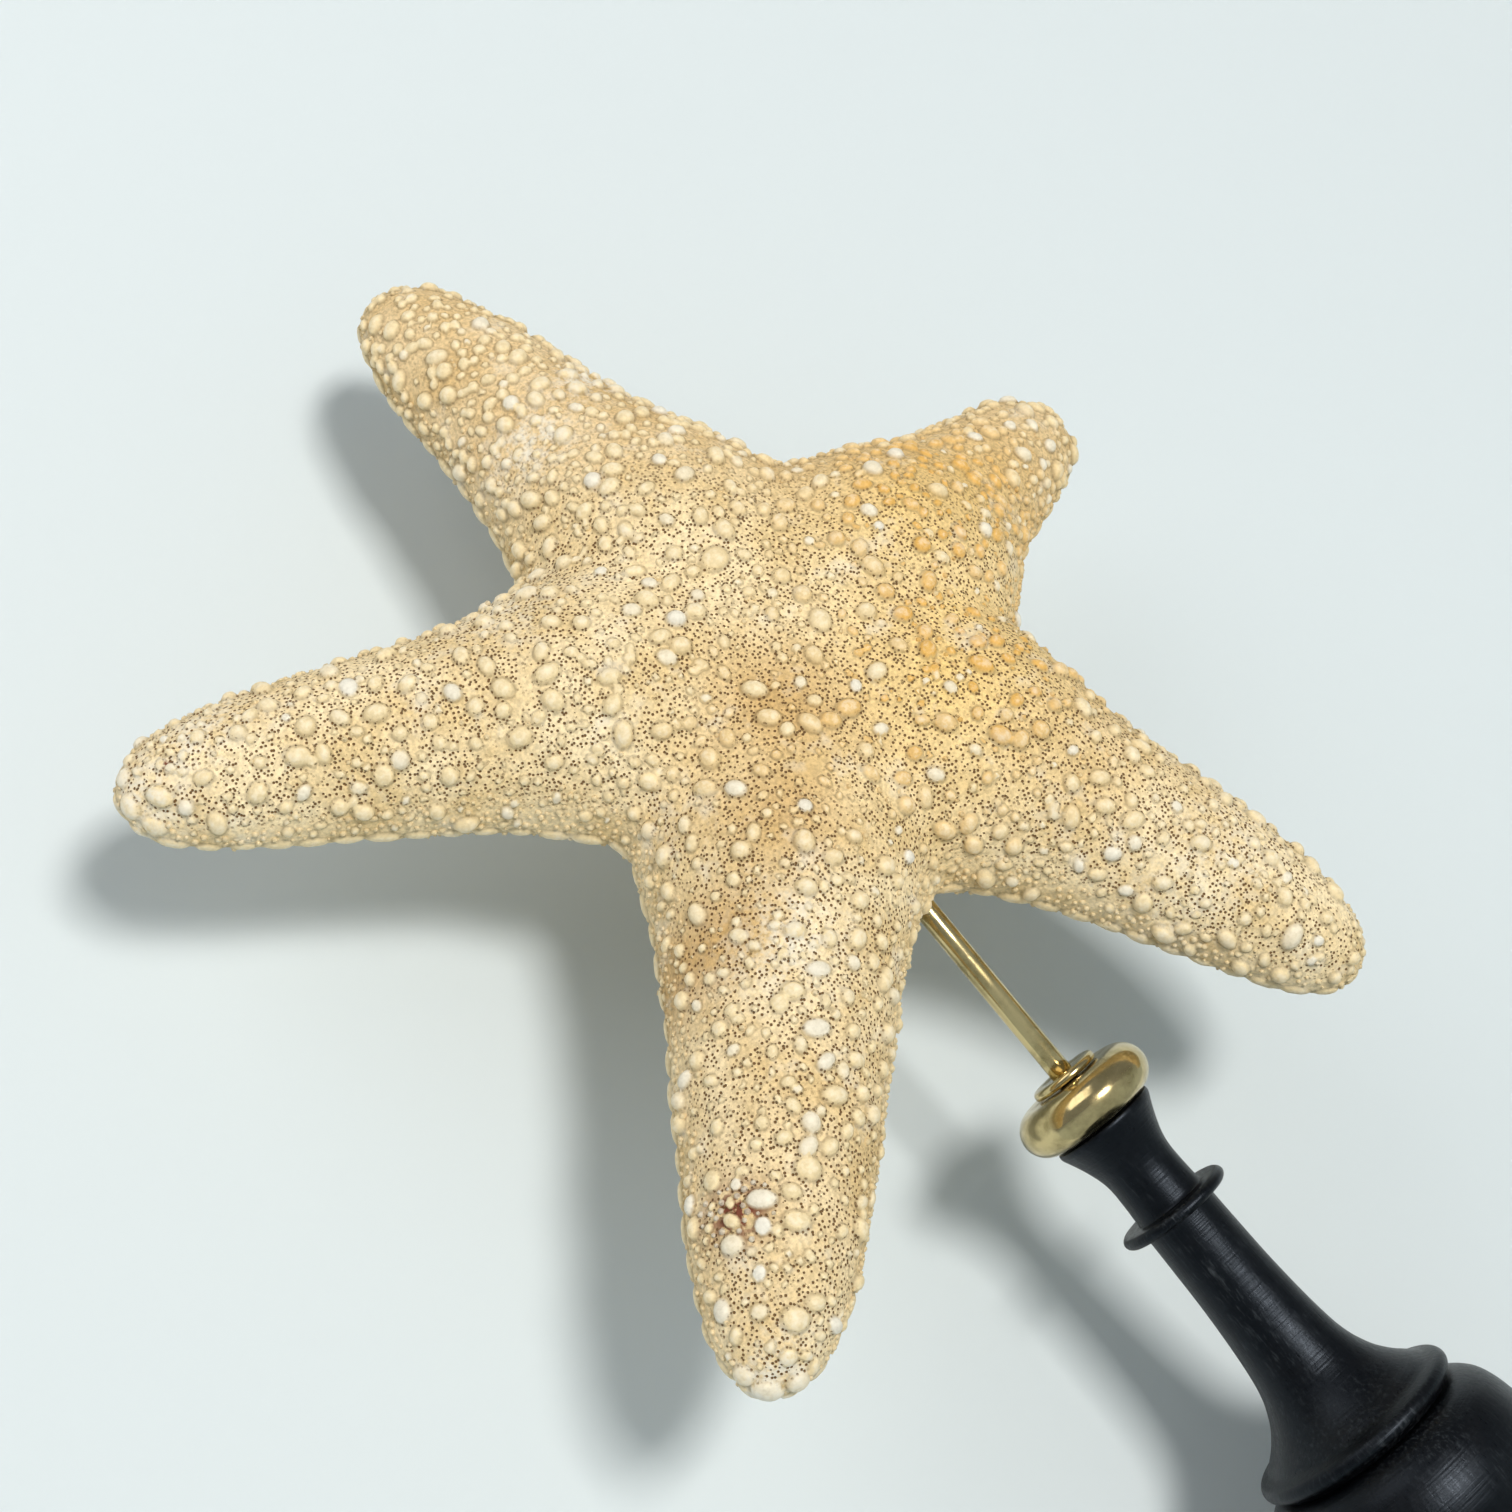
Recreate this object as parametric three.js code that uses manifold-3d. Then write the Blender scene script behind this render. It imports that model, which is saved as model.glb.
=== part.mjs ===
// A dried sea star on a brass rod, standing on an ebonised turned stand.
// Millimetres, +Z up. The origin is the middle of the underside of the foot,
// and the star's upper face looks towards -Y.
import * as THREE from 'three';
import { mergeVertices } from 'three/addons/utils/BufferGeometryUtils.js';
import Module from 'manifold-3d';

const wasm = await Module();
wasm.setup();

// ---- Driving dimensions -------------------------------------------------

const GAP = 0.3; // clearance left between neighbouring pieces
const ROUND_SIDES = 36; // facets round each turned piece

const FOOT_RIM_RADIUS = 40;
const FOOT_SHOULDER_RADIUS = 26.5;
const FOOT_TOP = 53.6; // height of the joint between foot and column
const TENON_RADIUS = 8;
const TENON_LENGTH = 14;

const COLUMN_WAIST_RADIUS = 6.9;
const COLUMN_TOP = 127.8;
const RING_HEIGHT = 107.4;
const RING_RADIUS = 11.5;
const RING_THICKNESS = 2.4;
const BEAD_HEIGHT = 57;
const BEAD_RADIUS = 21;

const COLLAR_RADIUS = 13.9;
const COLLAR_THICKNESS = 9.4;
const WASHER_RADIUS = 6.8;
const WASHER_THICKNESS = 1.6;

const ROD_RADIUS = 2.2;
const ROD_DEPTH_IN_COLUMN = 22;
const ROD_TOP = 212; // inside the star

// The star's own frame: X and Y in the plane of its arms, Z out of its upper face.
const STAR_CENTRE = new THREE.Vector3(7, 15, 228.5);
const STAR_LEAN = THREE.MathUtils.degToRad(76.8); // from lying flat, back against the upright
const STAR_TURN = THREE.MathUtils.degToRad(27.9); // about the upright rod
const DISC_RADIUS = 43;
const DISC_CREST = 24;
const BELLY_SLOPE = 0.5; // rise of the underside near its edge, as a share of the half-width
const BELLY_DEPTH = 9; // how far the flattened underside lies below the widest level

// Each arm: clockwise angle from straight up, length, girth, and how far its tip is
// lifted out of the plane and swept clockwise. Girth 1 is 38 mm wide at mid length.
const ARMS = [
  { angle: 1, length: 117, girth: 0.96, lift: -4, sweep: -2 },
  { angle: 81, length: 98, girth: 0.84, lift: -12, sweep: 4 },
  { angle: 156, length: 123, girth: 1.0, lift: -4, sweep: 7 },
  { angle: 225, length: 142, girth: 1.06, lift: 0, sweep: 3 },
  { angle: 298, length: 128, girth: 0.98, lift: 0, sweep: -2 },
];

// ---- Helpers ------------------------------------------------------------

function solidOf(geometry) {
  const bare = geometry.clone();
  bare.deleteAttribute('normal');
  bare.deleteAttribute('uv');
  const merged = mergeVertices(bare, 1e-4);
  const mesh = new wasm.Mesh({
    numProp: 3,
    vertProperties: new Float32Array(merged.attributes.position.array),
    triVerts: new Uint32Array(merged.index.array),
  });
  return new wasm.Manifold(mesh);
}

function geometryOf(solid) {
  const mesh = solid.getMesh();
  const geometry = new THREE.BufferGeometry();
  geometry.setAttribute('position', new THREE.BufferAttribute(mesh.vertProperties, 3));
  geometry.setIndex(new THREE.BufferAttribute(mesh.triVerts, 1));
  geometry.computeVertexNormals();
  return geometry;
}

// A lathe turned about +Z from [radius, height] pairs listed from the bottom up.
function turned(outline, sides = ROUND_SIDES) {
  const points = outline.map(([radius, height]) => new THREE.Vector2(radius, height));
  return new THREE.LatheGeometry(points, sides).rotateX(Math.PI / 2);
}

// Points of an arc about [radius, height], from one angle to another in degrees.
function arc(radius, height, size, from, to, steps) {
  const points = [];
  for (let i = 0; i <= steps; i += 1) {
    const angle = THREE.MathUtils.degToRad(from + ((to - from) * i) / steps);
    points.push([radius + size * Math.cos(angle), height + size * Math.sin(angle)]);
  }
  return points;
}

// A smooth run through [radius, height] pairs.
function swept(pairs, steps) {
  const curve = new THREE.SplineCurve(pairs.map(([radius, height]) => new THREE.Vector2(radius, height)));
  return curve.getPoints(steps).map((point) => [point.x, point.y]);
}

function piece(name, geometry, color, roughness, metalness) {
  const mesh = new THREE.Mesh(geometry, new THREE.MeshStandardMaterial({ color, roughness, metalness }));
  mesh.name = name;
  return mesh;
}

// ---- The stand ----------------------------------------------------------

function foot() {
  const floor = FOOT_TOP - TENON_LENGTH - GAP;
  const bore = TENON_RADIUS + GAP;
  const outline = [
    [0, 0],
    [FOOT_RIM_RADIUS - 2.4, 0],
    ...arc(FOOT_RIM_RADIUS - 3.5, 3.5, 3.5, -60, 80, 6),
    ...swept([[34, 8.5], [28.5, 14], [25, 22], [24.8, 30], [FOOT_SHOULDER_RADIUS, 38]], 9),
    ...swept([[FOOT_SHOULDER_RADIUS, 42], [25.8, 46], [24.2, 50], [21.6, 52.6], [19.4, FOOT_TOP]], 6),
    [bore, FOOT_TOP],
    [bore, floor],
    [0, floor],
  ];
  return piece('foot', turned(outline), 0x17181a, 0.35, 0);
}

function column() {
  const base = FOOT_TOP + GAP;
  const bore = ROD_RADIUS + GAP;
  const pocket = COLUMN_TOP - ROD_DEPTH_IN_COLUMN - GAP;
  const half = RING_THICKNESS / 2;
  const outline = [
    [0, FOOT_TOP - TENON_LENGTH],
    [TENON_RADIUS, FOOT_TOP - TENON_LENGTH],
    [TENON_RADIUS, base],
    [18.6, base],
    ...arc(BEAD_RADIUS - 1.8, BEAD_HEIGHT - 0.4, 1.8, -70, 60, 5),
    ...swept([[18, 59], [14.2, 62.6], [11.2, 67.2], [9.2, 74], [7.9, 88], [7.4, 104]], 12),
    [7.4, RING_HEIGHT - half],
    ...arc(RING_RADIUS - half, RING_HEIGHT, half, -80, 80, 4),
    [COLUMN_WAIST_RADIUS + 0.2, RING_HEIGHT + half],
    ...swept([[COLUMN_WAIST_RADIUS, 112], [COLUMN_WAIST_RADIUS, 117.5], [8.1, 122], [10.2, COLUMN_TOP - 1]], 8),
    [10.2, COLUMN_TOP],
    [bore, COLUMN_TOP],
    [bore, pocket],
    [0, pocket],
  ];
  return piece('column', turned(outline), 0x17181a, 0.35, 0);
}

function collar() {
  const half = COLLAR_THICKNESS / 2;
  const middle = COLUMN_TOP + GAP + half;
  const bore = ROD_RADIUS + GAP;
  const outline = [
    [bore, middle - half],
    ...arc(COLLAR_RADIUS - half, middle, half, -90, 90, 10),
    [bore, middle + half],
    [bore, middle - half],
  ];
  return piece('collar', turned(outline), 0xb08a4e, 0.22, 1);
}

function washer() {
  const bottom = COLUMN_TOP + COLLAR_THICKNESS + 2 * GAP;
  const top = bottom + WASHER_THICKNESS;
  const bore = ROD_RADIUS + GAP;
  const outline = [
    [bore, bottom],
    [WASHER_RADIUS, bottom],
    [WASHER_RADIUS, top - 0.5],
    [WASHER_RADIUS - 0.5, top],
    [bore, top],
    [bore, bottom],
  ];
  return piece('washer', turned(outline), 0xb08a4e, 0.25, 1);
}

function rod() {
  const bottom = COLUMN_TOP - ROD_DEPTH_IN_COLUMN;
  const chamfer = 0.5;
  const outline = [
    [0, bottom],
    [ROD_RADIUS, bottom],
    [ROD_RADIUS, ROD_TOP - chamfer],
    [ROD_RADIUS - chamfer, ROD_TOP],
    [0, ROD_TOP],
  ];
  return piece('rod', turned(outline, 16), 0xb9985f, 0.28, 1);
}

// ---- The star -----------------------------------------------------------

// How an arm's half-width runs from the middle of the disc to its blunt tip.
function armOutline(length, girth) {
  const free = 56; // where the arm stands clear of its neighbours
  const along = (share) => THREE.MathUtils.lerp(free, length, share);
  const pairs = [
    [0, -26],
    [24, -18],
    [34, 2],
    [33, 20],
    [29.3, 39],
    [23.2 * girth, free],
    [19.9 * girth, along(0.25)],
    [17.6 * girth, along(0.5)],
    [14.9 * girth, along(0.72)],
    [11.4 * girth, along(0.88)],
    [6.2 * girth, along(0.97)],
    [0, length],
  ];
  return swept(pairs, 17).map(([radius, height]) => new THREE.Vector2(Math.max(radius, 0), height));
}

// The underside falls away from its edge and soon levels out.
function flattened(down) {
  return BELLY_DEPTH * Math.tanh((down * BELLY_SLOPE) / BELLY_DEPTH);
}

// An arm lies along +Y: turned, then crowned above, flattened below and curved.
function arm({ length, girth, lift, sweep }) {
  const geometry = new THREE.LatheGeometry(armOutline(length, girth), 20);
  const place = geometry.attributes.position;
  for (let i = 0; i < place.count; i += 1) {
    const along = place.getY(i);
    const up = place.getZ(i);
    const crown = THREE.MathUtils.lerp(0.7, 0.95, THREE.MathUtils.smoothstep(along, 8, 60));
    const raised = up > 0 ? up * crown : flattened(up);
    const reach = Math.max(along, 0) / length;
    place.setX(i, place.getX(i) + sweep * reach * reach);
    place.setZ(i, raised + lift * reach * reach);
  }
  return geometry;
}

function disc() {
  const geometry = new THREE.SphereGeometry(1, 40, 20).rotateX(Math.PI / 2);
  const place = geometry.attributes.position;
  for (let i = 0; i < place.count; i += 1) {
    const up = place.getZ(i);
    const raised = up > 0 ? up * DISC_CREST : flattened(up * DISC_RADIUS);
    place.setXYZ(i, place.getX(i) * DISC_RADIUS, place.getY(i) * DISC_RADIUS, raised);
  }
  return geometry;
}

// The blind hole for the rod, moved into the star's own frame.
function rodHole(placement) {
  const length = ROD_TOP + GAP - COLUMN_TOP;
  const hole = new THREE.CylinderGeometry(ROD_RADIUS + GAP, ROD_RADIUS + GAP, length, 16).rotateX(Math.PI / 2);
  hole.translate(0, 0, COLUMN_TOP + length / 2);
  return hole.applyMatrix4(placement.clone().invert());
}

function starfish() {
  const turn = new THREE.Euler(STAR_LEAN, 0, STAR_TURN, 'ZXY');
  const placement = new THREE.Matrix4().makeRotationFromEuler(turn).setPosition(STAR_CENTRE);
  let body = solidOf(disc());
  for (const shape of ARMS) {
    const geometry = arm(shape).rotateZ(-THREE.MathUtils.degToRad(shape.angle));
    body = body.add(solidOf(geometry));
  }
  body = body.subtract(solidOf(rodHole(placement)));
  const star = piece('starfish', geometryOf(body), 0xd9bd85, 0.85, 0);
  star.position.copy(STAR_CENTRE);
  star.rotation.copy(turn);
  return star;
}

// ---- The assembly -------------------------------------------------------

const group = new THREE.Group();
group.add(foot());
group.add(column());
group.add(collar());
group.add(washer());
group.add(rod());
group.add(starfish());

export default group;
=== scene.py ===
"""A dried sea star on a turned stand: its finish, around the model that holds its shape and size.

Laid out as an add-on, with an operator for each piece or group of like pieces.
"""
import math

import bmesh
import bpy
import numpy as np
from mathutils import Euler, Matrix, Vector
from mathutils.bvhtree import BVHTree


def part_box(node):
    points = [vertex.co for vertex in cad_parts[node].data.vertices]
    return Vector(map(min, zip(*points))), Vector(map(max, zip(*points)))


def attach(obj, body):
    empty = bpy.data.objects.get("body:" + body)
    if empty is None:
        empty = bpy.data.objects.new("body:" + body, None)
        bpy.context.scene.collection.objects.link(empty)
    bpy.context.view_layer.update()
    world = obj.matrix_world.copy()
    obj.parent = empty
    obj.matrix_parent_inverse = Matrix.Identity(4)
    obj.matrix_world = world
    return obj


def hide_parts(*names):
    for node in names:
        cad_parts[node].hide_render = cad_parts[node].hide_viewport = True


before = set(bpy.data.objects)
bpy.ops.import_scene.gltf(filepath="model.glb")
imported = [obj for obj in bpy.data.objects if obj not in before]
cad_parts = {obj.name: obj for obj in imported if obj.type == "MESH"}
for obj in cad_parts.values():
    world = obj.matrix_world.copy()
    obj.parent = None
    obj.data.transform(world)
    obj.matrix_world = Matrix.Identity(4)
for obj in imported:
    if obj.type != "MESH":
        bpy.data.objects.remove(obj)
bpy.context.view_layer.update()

bl_info = {
    "name": "Dried sea star on a stand",
    "version": (1, 0, 0),
    "blender": (4, 5, 0),
    "location": "3D View > Sidebar > Sea Star",
    "description": "Builds the knobbly skin, the turned wood, the brass and the studio around the model",
    "category": "Object",
}

MM = 0.001

# The star's arms, as in the model: clockwise angle from straight up, length, and how far
# the tip is swept clockwise and lifted out of the star's plane. Degrees and millimetres.
ARMS = (
    (1, 117, -2, -4),
    (81, 98, 4, -12),
    (156, 123, 7, -4),
    (225, 142, 3, 0),
    (298, 128, -2, 0),
)

# Plates that mark this one animal: arm, distance along it and across it, half-width,
# length over width, turn from the arm's length in degrees, and how white it is from 0 to 1.
PLATES = (
    (3, 111, 5, 2.0, 1.6, 90, 0.95),
    (3, 115.5, 4.5, 1.6, 1.15, 0, 1.0),
    (3, 118, 9, 2.0, 1.5, 80, 0.9),
    (3, 114.5, -1, 1.9, 1.4, 90, 0.45),
    (3, 123, 4.5, 1.3, 1.3, 10, 1.0),
    (3, 128, 9.5, 2.0, 1.25, 20, 0.95),
    (3, 129, 4, 1.5, 1.2, 60, 0.85),
    (3, 108, 9, 1.2, 1.1, 0, 0.95),
    (3, 106.5, 12.5, 2.0, 1.1, 0, 0.3),
    (3, 135.5, -1.5, 1.7, 1.1, 0, 0.6),
    (3, 130, -2, 2.4, 1.15, 90, 0.0),
    (3, 105.5, -2.5, 2.3, 1.15, 90, 0.0),
    (3, 139.5, 1, 2.6, 1.3, 90, 0.92),
    (3, 139, 6, 2.2, 1.2, 40, 0.85),
    (3, 139, -4.5, 2.3, 1.2, 120, 0.9),
    (3, 81, -3, 1.9, 1.5, 80, 0.95),
    (3, 70.5, -3, 1.7, 1.4, 80, 0.95),
    (3, 87.5, -8, 1.5, 1.2, 0, 0.85),
    (3, 77, 3.5, 1.8, 1.1, 0, 0.5),
    (2, 3, 0, 2.3, 1.2, 60, 0.8),
    (4, 31.5, 6.5, 1.7, 1.2, 0, 0.9),
    (4, 28, -4.5, 1.8, 1.2, 30, 0.9),
    (4, 83.5, 5.5, 1.9, 1.4, 90, 1.0),
    (4, 81, -11.5, 2.0, 1.2, 90, 0.2),
    (4, 124, -3.5, 2.2, 1.3, 90, 0.85),
    (4, 124, 2, 1.9, 1.2, 90, 0.9),
    (4, 121.5, -9, 2.0, 1.3, 40, 0.8),
    (0, 19, -5, 2.6, 1.2, 90, 0.35),
)

# Golden stains, in the star's plane: middle, half-extents in mm, strength.
GOLD = (
    (17, -25, 30, 22, 1.0),
    (42, 4, 28, 20, 1.0),
    (-16, -18, 20, 20, 0.45),
)

# Where the skin is duller and browner, in the same plane: partly real browning, partly painted shade on the
# arms' flanks. Middle, half-extents in mm, strength.
DULL_AND_SHADED = (
    (-17, -11, 14, 14, 0.9),
    (-32, -26, 13, 13, 0.8),
    # This one is painted shade along a flank of the arm that points down and to the left.
    (-60, -34, 18, 9, 1.0),
    (-78, -74, 34, 30, 0.3),
    (26, -50, 18, 14, 0.3),
    (34, 26, 14, 9, 0.5),
)

# Where the skin is bleached white in specks, in the same way.
BLEACHED = (
    (-9, 63, 9, 7, 1.0),
    (13, 68, 13, 6, 1.0),
    (-98, 54, 14, 7, 0.8),
    (-110, 53, 8, 9, 0.9),
    (-48, -44, 12, 9, 0.8),
    (27, -83, 26, 12, 0.5),
    (-102, -97, 10, 8, 1.0),
    (-40, 38, 12, 8, 0.6),
)

# Rust-red stains: arm, distance along it and across it, radius in mm, strength.
RUST = (
    (3, 113, 9, 4.6, 1.3),
    (4, 117.5, 0, 1.0, 1.6),
)

# Two of the arms are crowded with knobs and nearly free of pores. Their side of the star
# lies at this clockwise angle from straight up, and starts this many mm from the centre.
CROWDED_BEARING, CROWDED_FROM, CROWDED_FULL = 41, 16, 46

# Skin that faces downwards by more than this, from -1 to 1, may have larger faces.
PLAIN_FACING = -0.35

# How high a knob's dome stands, as a share of its half-width.
PLATE_RISE, ROW_RISE, LARGE_RISE, SMALL_RISE = 0.6, 0.5, 0.88, 1.0

# The two rows of edge plates: their levels in mm from the star's plane. They run straight from the
# root, so far from the centre, to the shoulder, so far from the tip, and round the tip from there.
MARGIN_LEVELS = (-0.3, -5.0)
MARGIN_ROOT, MARGIN_SHOULDER = 46, 13

# The rows of spines on each bank of a groove: mm from its middle, lean towards it, relative size.
SPINE_ROWS = ((3.0, 0.75, 1.0), (4.6, 0.25, 0.8))
SPINE_PITCH = 1.55

# A finished piece with fewer faces than this has failed.
FEWEST_FACES = 1000

# The floor's half-width, the board's half-width and height, in metres, and the board's slope back.
FLOOR_HALF = 3.0
BOARD_HALF, BOARD_HEIGHT, BOARD_SLOPE = 0.7, 0.9, 0.1

# Soft square lights aimed at the star: place in metres, size in metres, watts, colour.
LIGHTS_TARGET = (0, 0, 0.2)
LIGHTS = {
    "key": ((1.78, -3.10, 0.20), 0.83, 118.0, "#FFFBF5"),
    "top": ((-0.10, -0.72, 1.10), 0.80, 3.4, "#FFFCF8"),
    "back": ((-0.45, 1.00, 0.55), 0.60, 3.5, "#F6F9FF"),
}
ROOM_COLOUR, ROOM_STRENGTH = "#E8EFF4", 0.30


def linear(code):
    """An sRGB hex colour as linear RGBA."""
    channels = [int(code[i:i + 2], 16) / 255 for i in (1, 3, 5)]
    spread = [c / 12.92 if c <= 0.04045 else ((c + 0.055) / 1.055) ** 2.4 for c in channels]
    return (*spread, 1.0)


# ---- Sizes and colours --------------------------------------------------


def length_field(name, description, default):
    """A panel field for a length in metres."""
    return bpy.props.FloatProperty(
        name=name, description=description, default=default, min=0, subtype="DISTANCE", unit="LENGTH",
        precision=5)


def angle_field(name, description, degrees):
    """A panel field for an angle."""
    return bpy.props.FloatProperty(
        name=name, description=description, default=math.radians(degrees), subtype="ANGLE", unit="ROTATION")


def place_field(name, description, default):
    """A panel field for a place."""
    return bpy.props.FloatVectorProperty(
        name=name, description=description, default=default, subtype="TRANSLATION", unit="LENGTH")


def colour_field(name, description, code):
    """A panel field for a colour, from its sRGB hex value."""
    return bpy.props.FloatVectorProperty(
        name=name, description=description, default=linear(code), subtype="COLOR", size=4, min=0, max=1)


class StarSizes(bpy.types.PropertyGroup):
    """Sizes of the sea star's skin."""

    centre: place_field("Disc centre", "Middle of the star's disc", (0.007, 0.015, 0.2285))
    lean: angle_field("Lean", "Tilt of the star up from lying flat", 76.8)
    turn: angle_field("Turn", "Turn of the star about its rod", 27.9)
    soften: length_field("Soften", "Cell size at which the arms' roots are melted together", 0.0022)
    cell: length_field("Cell", "Edge length of the skin's fine mesh", 0.00072)
    kept: bpy.props.FloatProperty(
        name="Kept", description="Share of the fine mesh's faces that is kept, thinned from the underside",
        default=0.62, min=0.3, max=1.0, subtype="FACTOR")
    granule_spacing: length_field("Granule spacing", "Least distance between the tiny granules", 0.00135)
    granule_radius: length_field("Granule radius", "Half-width of an average granule", 0.00052)
    large_spacing: length_field("Large knob spacing", "Least distance between large knobs", 0.0037)
    large_radius: length_field("Large knob radius", "Half-width of an average large knob", 0.00150)
    small_spacing: length_field("Small knob spacing", "Least distance between small knobs", 0.0021)
    small_radius: length_field("Small knob radius", "Half-width of an average small knob", 0.00080)
    margin_pitch: length_field("Margin pitch", "Length of one plate along the edge of an arm", 0.0062)
    groove_depth: length_field("Groove depth", "Depth of the feeding groove under each arm", 0.0036)
    spine_length: length_field("Spine length", "Length of a spine beside the groove", 0.0026)
    spine_radius: length_field("Spine radius", "Half-width of a spine at its foot", 0.00055)
    seed: bpy.props.IntProperty(
        name="Seed", description="Seed of the large knobs' places", default=7, min=0)


class StarColours(bpy.types.PropertyGroup):
    """Colours of the sea star's skin."""

    ground: colour_field("Ground", "Dry skin between the knobs", "#F8E3B8")
    shade: colour_field("Shade", "Duller patches of the skin", "#E6CB97")
    knob: colour_field("Knob", "Smooth tops of the knobs", "#F5DFB0")
    # Bone also paints the paler knob tops, partly as a painted highlight.
    bone: colour_field("Bone", "Worn and bleached knobs", "#F0EADA")
    gold: colour_field("Gold", "Golden stain over the disc", "#F2CB76")
    amber: colour_field("Amber", "Knobs in the golden stain", "#EDBB62")
    # Dull also paints shade: on the arms' flanks and between the crowded knobs.
    dull: colour_field("Dull", "Browned skin between the knobs of the disc", "#C49A5A")
    pore: colour_field("Pore", "Inside of the pores", "#7A5934")
    rust: colour_field("Rust", "Red-brown stain", "#7A4330")


class StandColours(bpy.types.PropertyGroup):
    """Colours of the wood and brass."""

    black: colour_field("Black stain", "Ebonised wood", "#040507")
    wear: colour_field("Worn wood", "Wood where the stain has rubbed thin", "#0F0E0E")
    dust: colour_field("Dust", "Pale bloom in the wax", "#9DA6AC")
    brass: colour_field("Brass", "Polished brass", "#D2BE8C")
    tarnish: colour_field("Tarnish", "Brass that has dulled", "#9E8F63")


class StudioSettings(bpy.types.PropertyGroup):
    """The floor, the wall, the light and the camera."""

    paper: colour_field("Paper", "Floor and wall", "#D8E1E4")
    lens: bpy.props.FloatProperty(name="Lens", description="Focal length", default=69.0, unit="CAMERA")
    eye: place_field("Eye", "Place of the camera", (-0.006, -0.534, 0.1945))
    tilt: angle_field("Tilt", "How far the camera looks up", 2.7)
    roll: angle_field("Roll", "Turn of the camera about its line of sight", -39.7)


# ---- Helpers ------------------------------------------------------------


def add(tree, kind, inputs=(), **settings):
    """Adds a node. Its inputs are given in order or by name, as values, sockets or nodes."""
    node = tree.nodes.new(kind)
    for name, value in settings.items():
        setattr(node, name, value)
    named = inputs if isinstance(inputs, dict) else dict(enumerate(inputs))
    for key, value in named.items():
        if isinstance(key, str):
            socket = next(s for s in node.inputs if s.enabled and s.name == key)
        else:
            socket = node.inputs[key]
        if isinstance(value, bpy.types.Node):
            value = next(s for s in value.outputs if s.enabled)
        if isinstance(value, bpy.types.NodeSocket):
            tree.links.new(value, socket)
        else:
            socket.default_value = value
    return node


def new_material(name):
    """An empty node material."""
    material = bpy.data.materials.new(name)
    material.use_nodes = True
    material.node_tree.nodes.clear()
    return material


def new_object(name, mesh):
    """Links a mesh into the scene."""
    thing = bpy.data.objects.new(name, mesh)
    bpy.context.scene.collection.objects.link(thing)
    return thing


def baked(thing, name):
    """The evaluated object as a plain mesh in a new object. The old one is removed."""
    bpy.context.view_layer.update()
    graph = bpy.context.evaluated_depsgraph_get()
    mesh = bpy.data.meshes.new_from_object(thing.evaluated_get(graph))
    mesh.name = name
    old = thing.data
    bpy.data.objects.remove(thing)
    if old.users == 0 and isinstance(old, bpy.types.Mesh):
        bpy.data.meshes.remove(old)
    return new_object(name, mesh)


def merged_copy(node):
    """A node's mesh with its loose triangles joined up."""
    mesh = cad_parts[node].data.copy()
    shape = bmesh.new()
    shape.from_mesh(mesh)
    bmesh.ops.remove_doubles(shape, verts=shape.verts, dist=1e-6)
    shape.to_mesh(mesh)
    shape.free()
    mesh.materials.clear()
    return mesh


def numbers(mesh, name, values):
    """Stores one number for each vertex."""
    attribute = mesh.attributes.new(name, "FLOAT", "POINT")
    attribute.data.foreach_set("value", np.asarray(values, np.float32))


def smoothstep(low, high, values):
    """0 below low, 1 above high and smooth between."""
    share = np.clip((values - low) / (high - low), 0, 1)
    return share * share * (3 - 2 * share)


# ---- The star's own frame -----------------------------------------------


def star_matrix(sizes):
    """From the star's frame, with its plane at Z 0 and its upper face towards +Z, to the model's."""
    turn = Matrix.Rotation(sizes.turn, 4, "Z") @ Matrix.Rotation(sizes.lean, 4, "X")
    return Matrix.Translation(sizes.centre) @ turn


def arm_axes(angle):
    """Unit vectors along an arm and clockwise across it, in the star's plane."""
    bearing = math.radians(angle)
    along = np.array((math.sin(bearing), math.cos(bearing)))
    across = np.array((math.cos(bearing), -math.sin(bearing)))
    return along, across


def arm_point(arm, along, across=0.0, up=0.0):
    """A point in the star's frame, in metres, from distances along and across an arm in mm."""
    angle, length, sweep, lift = ARMS[arm]
    forward, sideways = arm_axes(angle)
    reach = max(along / length, 0) ** 2
    flat = forward * along + sideways * (across + sweep * reach)
    return Vector((flat[0], flat[1], up + lift * reach)) * MM


def arm_coordinates(flat):
    """For points in the star's plane, in mm: the share of an arm's length, and how far across it."""
    best = np.full(len(flat), -np.inf)
    share = np.zeros(len(flat))
    across = np.zeros(len(flat))
    for angle, length, sweep, _ in ARMS:
        forward, sideways = arm_axes(angle)
        along = flat @ forward
        reach = np.clip(along / length, 0, 1) ** 2
        offset = flat @ sideways - sweep * reach
        closeness = along - 1.4 * np.abs(offset)
        nearer = closeness > best
        best[nearer] = closeness[nearer]
        share[nearer] = (along / length)[nearer]
        across[nearer] = offset[nearer]
    return share, across


# ---- The star's body ----------------------------------------------------


def plug_hole(shape):
    """Fills the hole that the rod stands in, so that the skin closes round the rod."""
    low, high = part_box("rod")
    radius = (high.x - low.x) / 2 + 0.5 * MM
    top = high.z + 0.6 * MM
    bottom = top - 36 * MM
    place = Matrix.Translation((0, 0, (top + bottom) / 2))
    bmesh.ops.create_cone(
        shape, cap_ends=True, segments=24, radius1=radius, radius2=radius, depth=top - bottom, matrix=place)


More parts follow.
